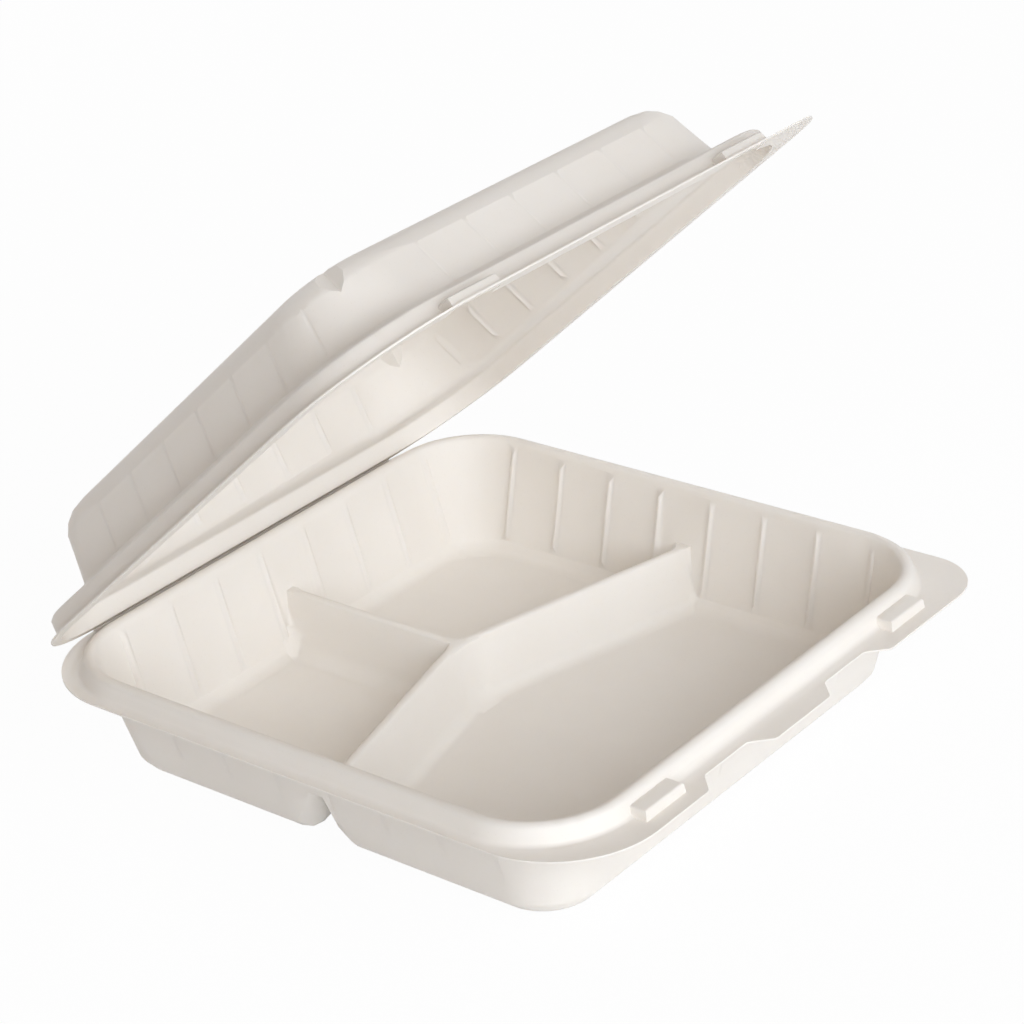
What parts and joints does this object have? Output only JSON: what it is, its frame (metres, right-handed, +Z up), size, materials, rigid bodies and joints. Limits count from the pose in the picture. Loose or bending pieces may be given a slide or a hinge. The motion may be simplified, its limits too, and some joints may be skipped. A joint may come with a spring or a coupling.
{
  "type": "hinged takeout container",
  "caption": "Square clamshell food container of thin formed plastic: divided ribbed tray with a raised rim, latch lugs and a corner pull tab, and a domed lid on a living hinge.",
  "frame": {"origin": "middle of the tray's rim in plan, on the plane that the base rests on", "axes": "+X along the hinge, towards the pull tab's side; -Y towards the latch side; +Z up"},
  "size_m": [0.233, 0.2379, 0.1953],
  "materials": {
    "formed_sheet": "soft satin, off-white filled plastic"
  },
  "bodies": {
    "base": {"base": "formed_sheet"},
    "lid": {"lid": "formed_sheet"}
  },
  "joints": [
    {"name": "living_hinge", "type": "hinge", "parent": "base", "child": "lid", "pos_m": [0, 0.1166, 0.03625], "axis": [-1, 0, 0], "range_deg": [-41, 139]}
  ]
}
